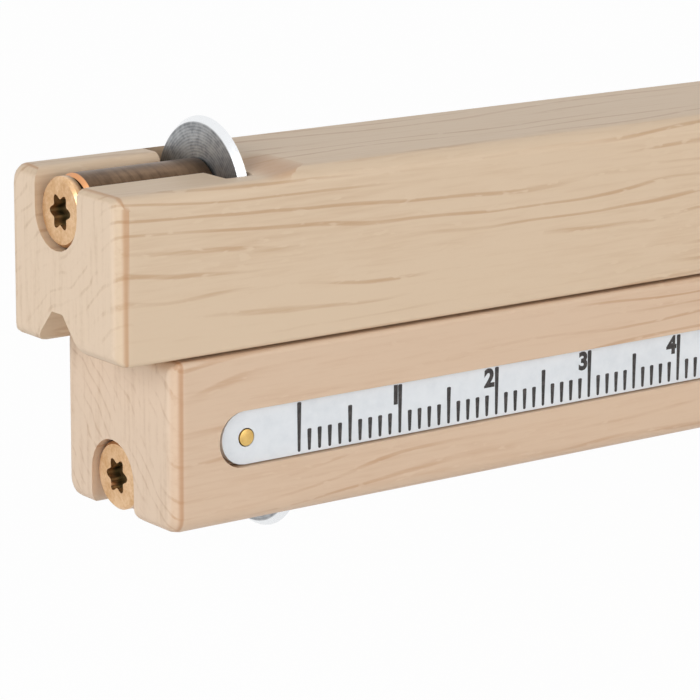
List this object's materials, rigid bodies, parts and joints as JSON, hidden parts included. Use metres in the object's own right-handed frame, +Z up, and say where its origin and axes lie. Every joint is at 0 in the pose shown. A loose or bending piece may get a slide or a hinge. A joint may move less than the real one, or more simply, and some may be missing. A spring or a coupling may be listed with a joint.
{
  "type": "dual marking gauge",
  "caption": "Wooden marking gauge with stacked beams sliding through a shared fence, each with a cutting wheel near its end and a side thumbscrew, and an inlaid scale.",
  "frame": {"origin": "middle of the object's bounding box, on the flat base of the fence", "axes": "+X along the beams from the cutting ends to the tails, +Y from the scale's side to the far side, +Z up"},
  "size_m": [0.225, 0.065, 0.07],
  "materials": {
    "beam_wood": "pale close-grained wood under a thin satin finish",
    "fence_wood": "satin",
    "scale_white": "satin white with dark lines and figures",
    "brass": "satin",
    "sleeve_bronze": "dull, turned",
    "screw_plating": "yellow plated",
    "wheel_steel": "turned and ground",
    "stud_steel": "plain",
    "pad_plastic": "matt"
  },
  "bodies": {
    "fence": {"fence": "fence_wood", "lower_clamp_insert": "brass", "upper_clamp_insert": "brass"},
    "lower_beam": {"lower_beam": "beam_wood", "scale": "scale_white", "scale_pin_near": "brass", "scale_pin_far": "brass", "lower_sleeve": "sleeve_bronze", "lower_wheel_screw": "screw_plating"},
    "upper_beam": {"upper_beam": "beam_wood", "upper_sleeve": "sleeve_bronze", "upper_wheel_screw": "screw_plating"},
    "lower_wheel": {"lower_wheel": "wheel_steel"},
    "upper_wheel": {"upper_wheel": "wheel_steel"},
    "lower_pad": {"lower_clamp_pad": "pad_plastic"},
    "upper_pad": {"upper_clamp_pad": "pad_plastic"},
    "lower_thumbscrew": {"lower_thumb_knob": "brass", "lower_clamp_stud": "stud_steel"},
    "upper_thumbscrew": {"upper_thumb_knob": "brass", "upper_clamp_stud": "stud_steel"}
  },
  "joints": [
    {"name": "lower_beam_slide", "type": "slide", "parent": "fence", "child": "lower_beam", "axis": [-1, 0, 0], "range_m": [-0.077, 0.104]},
    {"name": "upper_beam_slide", "type": "slide", "parent": "fence", "child": "upper_beam", "axis": [-1, 0, 0], "range_m": [-0.0819, 0.099]},
    {"name": "lower_wheel_turn", "type": "hinge", "parent": "lower_beam", "child": "lower_wheel", "pos_m": [-0.09435, 0.00085, 0.02417], "axis": [1, 0, 0], "continuous": true},
    {"name": "upper_wheel_turn", "type": "hinge", "parent": "upper_beam", "child": "upper_wheel", "pos_m": [-0.09925, 0.00085, 0.04582], "axis": [1, 0, 0], "continuous": true},
    {"name": "lower_pad_slide", "type": "slide", "parent": "fence", "child": "lower_pad", "axis": [0, 1, 0], "range_m": [0, 0.0015]},
    {"name": "lower_thumbscrew_turn", "type": "hinge", "parent": "lower_pad", "child": "lower_thumbscrew", "pos_m": [-0.00375, 0, 0.02803], "axis": [0, 1, 0], "range_deg": [0, 670]},
    {"name": "upper_pad_slide", "type": "slide", "parent": "fence", "child": "upper_pad", "axis": [0, -1, 0], "range_m": [0, 0.0015]},
    {"name": "upper_thumbscrew_turn", "type": "hinge", "parent": "upper_pad", "child": "upper_thumbscrew", "pos_m": [-0.00375, 0, 0.04197], "axis": [0, -1, 0], "range_deg": [0, 670]}
  ],
  "couplings": [
    {"joint": "lower_pad_slide", "follows": "lower_thumbscrew_turn", "m_per_rad": 0.00012732},
    {"joint": "upper_pad_slide", "follows": "upper_thumbscrew_turn", "m_per_rad": 0.00012732}
  ]
}
